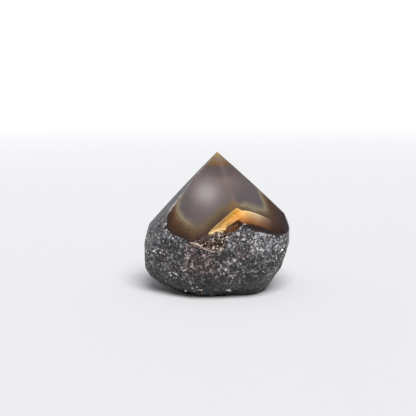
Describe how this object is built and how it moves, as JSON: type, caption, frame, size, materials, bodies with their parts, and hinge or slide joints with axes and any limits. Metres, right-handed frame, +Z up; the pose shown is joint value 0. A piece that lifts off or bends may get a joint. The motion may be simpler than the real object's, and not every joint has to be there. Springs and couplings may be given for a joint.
{
  "type": "agate wand",
  "caption": "Stout natural agate point: polished facets meet at a tip above a rough nodule skin, with a crystal-lined notch in front and a flat-ground base to stand on.",
  "frame": {"origin": "centre of the object's bounding box in plan, on the surface it stands on", "axes": "+Z up toward the tip, -Y toward the notched front, +X to the right seen from the front, along the longest side"},
  "size_m": [0.1011, 0.0912, 0.0954],
  "materials": {
    "agate": "polished facets of lilac-grey to brown banded agate over a rough charcoal nodule skin, with a cream and orange broken ledge"
  },
  "bodies": {
    "root": {"agate_point": "agate"}
  },
  "joints": []
}
